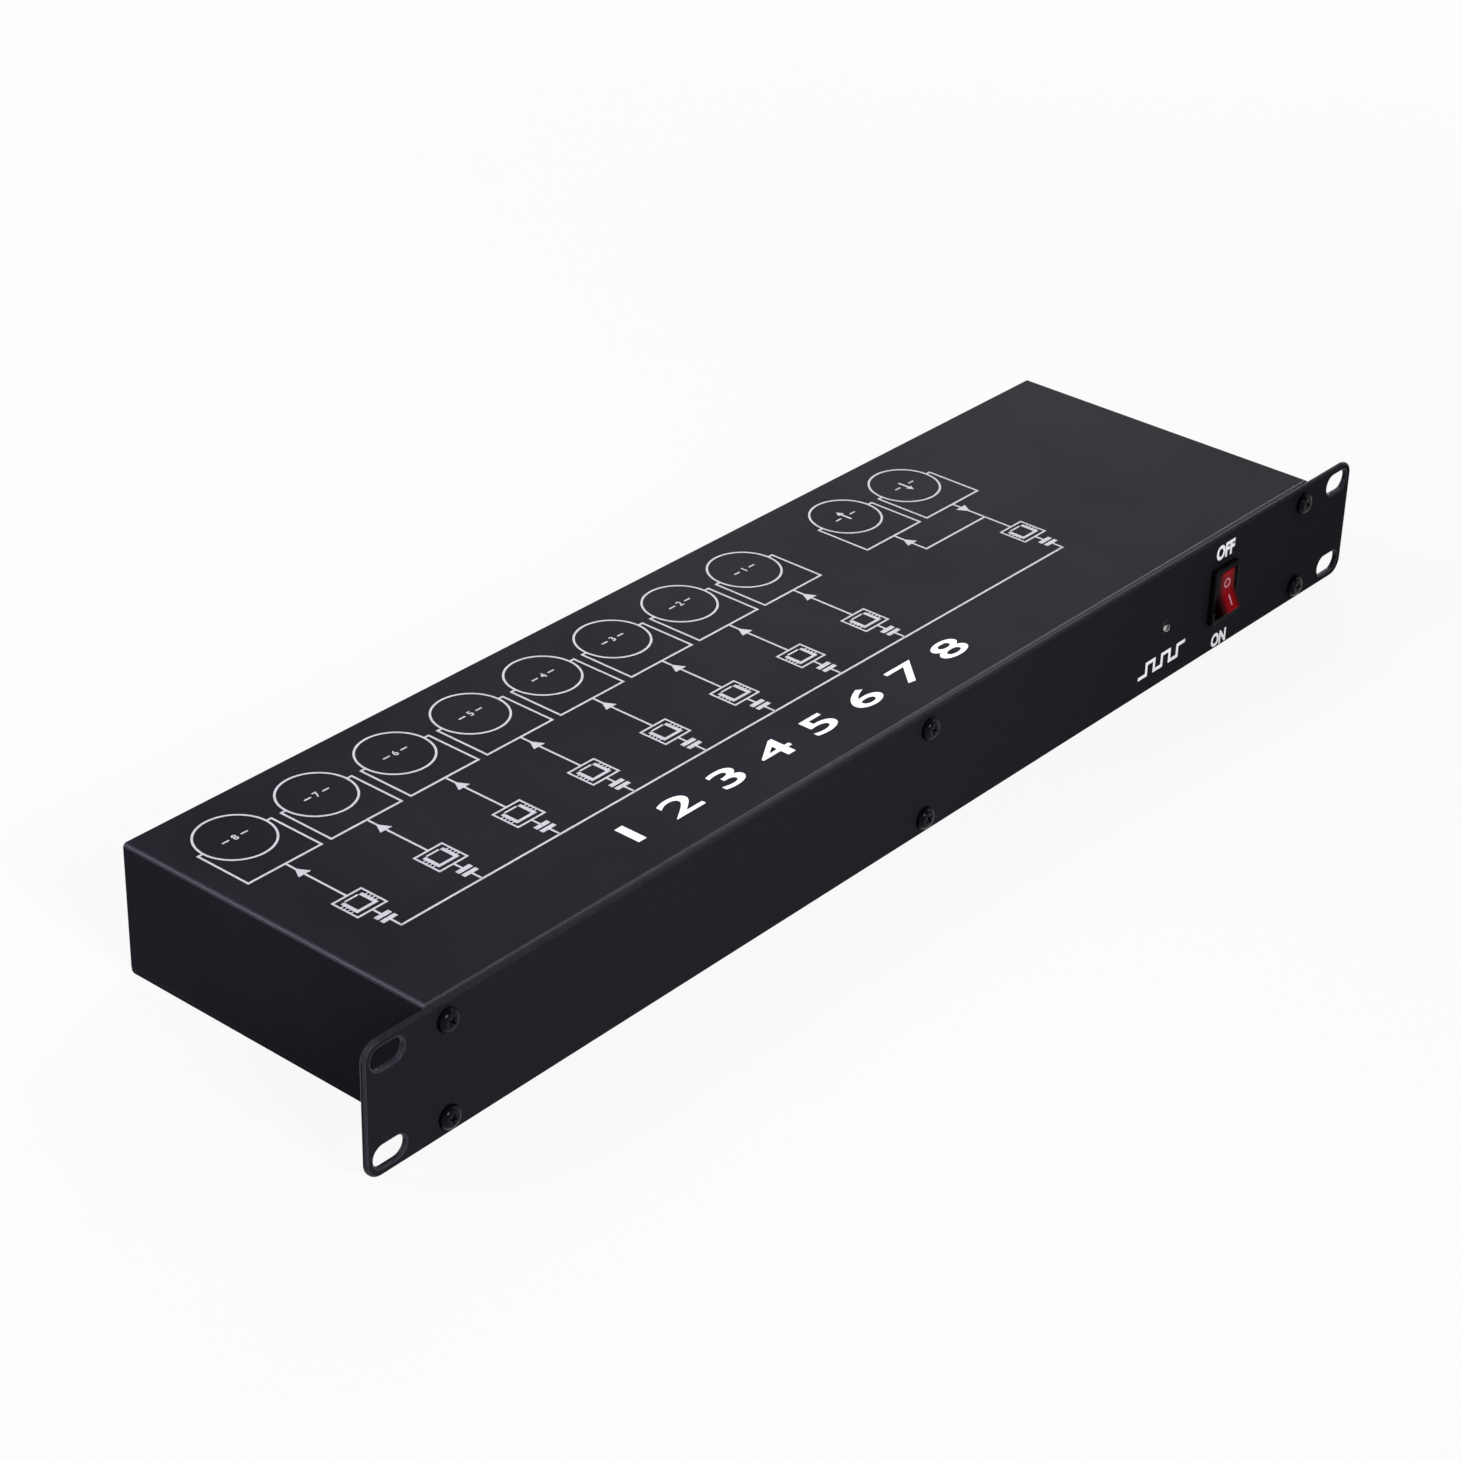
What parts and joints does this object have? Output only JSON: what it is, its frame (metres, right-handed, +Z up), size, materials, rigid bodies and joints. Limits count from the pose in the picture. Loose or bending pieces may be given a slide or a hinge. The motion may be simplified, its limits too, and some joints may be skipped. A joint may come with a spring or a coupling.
{
  "type": "rack-mount dmx splitter",
  "caption": "Flat black rack-mount splitter for stage lighting data: slotted ears, rocker switch and lamp in front; latching round sockets, pin input and fused mains inlet at the rear.",
  "frame": {"origin": "centre of the case's underside, on the plane it rests on and midway between the case's front and rear walls", "axes": "+X to the right as seen from the front, along the panel's width; +Y from the front panel to the rear connectors; +Z up"},
  "size_m": [0.4826, 0.134, 0.044],
  "materials": {
    "case_paint": "fine matt black powder coat",
    "black_screw": "black zinc, slightly glossy",
    "connector_shell": "satin black die casting",
    "connector_insert": "moulded",
    "latch_metal": "nickel plated",
    "contact_metal": "nickel plated brass",
    "inlet_plastic": "moulded",
    "fuse_glass": "clear tube with metal caps",
    "switch_plastic": "moulded",
    "rocker_red": "glossy, slightly translucent",
    "led_lens": "water clear lens",
    "circuit_board": "solder mask",
    "transformer_core": "varnished laminations",
    "brown_lead": "insulation",
    "blue_lead": "insulation",
    "red_lead": "insulation"
  },
  "bodies": {
    "chassis": {"front_panel": "case_paint", "top_cover": "case_paint", "base_tray": "case_paint", "panel_screw_1": "black_screw", "panel_screw_2": "black_screw", "panel_screw_3": "black_screw", "panel_screw_4": "black_screw", "panel_screw_5": "black_screw", "panel_screw_6": "black_screw", "cover_screw_1": "black_screw", "cover_screw_2": "black_screw", "cover_screw_3": "black_screw", "cover_screw_4": "black_screw", "output_1_shell": "connector_shell", "output_2_shell": "connector_shell", "output_3_shell": "connector_shell", "output_4_shell": "connector_shell", "output_5_shell": "connector_shell", "output_6_shell": "connector_shell", "output_7_shell": "connector_shell", "output_8_shell": "connector_shell", "thru_shell": "connector_shell", "output_1_insert": "connector_insert", "output_2_insert": "connector_insert", "output_3_insert": "connector_insert", "output_4_insert": "connector_insert", "output_5_insert": "connector_insert", "output_6_insert": "connector_insert", "output_7_insert": "connector_insert", "output_8_insert": "connector_insert", "thru_insert": "connector_insert", "input_shell": "connector_shell", "input_insert": "connector_insert", "input_pin_1": "contact_metal", "input_pin_2": "contact_metal", "input_pin_3": "contact_metal", "inlet_housing": "inlet_plastic", "inlet_line_blade": "contact_metal", "inlet_neutral_blade": "contact_metal", "inlet_earth_blade": "contact_metal", "switch_body": "switch_plastic", "signal_led": "led_lens", "main_board": "circuit_board", "transformer": "transformer_core", "line_lead": "brown_lead", "neutral_lead": "blue_lead", "switched_lead": "brown_lead", "led_lead": "red_lead"},
    "rocker": {"switch_rocker": "rocker_red"},
    "drawer": {"fuse_drawer": "inlet_plastic", "fuse": "fuse_glass"},
    "latch_1": {"output_1_latch": "latch_metal"},
    "latch_2": {"output_2_latch": "latch_metal"},
    "latch_3": {"output_3_latch": "latch_metal"},
    "latch_4": {"output_4_latch": "latch_metal"},
    "latch_5": {"output_5_latch": "latch_metal"},
    "latch_6": {"output_6_latch": "latch_metal"},
    "latch_7": {"output_7_latch": "latch_metal"},
    "latch_8": {"output_8_latch": "latch_metal"},
    "latch_thru": {"thru_latch": "latch_metal"}
  },
  "joints": [
    {"name": "power_rocker", "type": "hinge", "parent": "chassis", "child": "rocker", "pos_m": [0.163, -0.0608, 0.022], "axis": [1, 0, 0], "range_deg": [0, 27]},
    {"name": "fuse_drawer_pull", "type": "slide", "parent": "chassis", "child": "drawer", "axis": [0, 1, 0], "range_m": [0, 0.016]},
    {"name": "latch_1_push", "type": "slide", "parent": "chassis", "child": "latch_1", "axis": [0, -1, 0], "range_m": [0, 0.002], "stiffness_N_per_m": 300, "springref_m": -0.001},
    {"name": "latch_2_push", "type": "slide", "parent": "chassis", "child": "latch_2", "axis": [0, -1, 0], "range_m": [0, 0.002], "stiffness_N_per_m": 300, "springref_m": -0.001},
    {"name": "latch_3_push", "type": "slide", "parent": "chassis", "child": "latch_3", "axis": [0, -1, 0], "range_m": [0, 0.002], "stiffness_N_per_m": 300, "springref_m": -0.001},
    {"name": "latch_4_push", "type": "slide", "parent": "chassis", "child": "latch_4", "axis": [0, -1, 0], "range_m": [0, 0.002], "stiffness_N_per_m": 300, "springref_m": -0.001},
    {"name": "latch_5_push", "type": "slide", "parent": "chassis", "child": "latch_5", "axis": [0, -1, 0], "range_m": [0, 0.002], "stiffness_N_per_m": 300, "springref_m": -0.001},
    {"name": "latch_6_push", "type": "slide", "parent": "chassis", "child": "latch_6", "axis": [0, -1, 0], "range_m": [0, 0.002], "stiffness_N_per_m": 300, "springref_m": -0.001},
    {"name": "latch_7_push", "type": "slide", "parent": "chassis", "child": "latch_7", "axis": [0, -1, 0], "range_m": [0, 0.002], "stiffness_N_per_m": 300, "springref_m": -0.001},
    {"name": "latch_8_push", "type": "slide", "parent": "chassis", "child": "latch_8", "axis": [0, -1, 0], "range_m": [0, 0.002], "stiffness_N_per_m": 300, "springref_m": -0.001},
    {"name": "latch_thru_push", "type": "slide", "parent": "chassis", "child": "latch_thru", "axis": [0, -1, 0], "range_m": [0, 0.002], "stiffness_N_per_m": 300, "springref_m": -0.001}
  ]
}
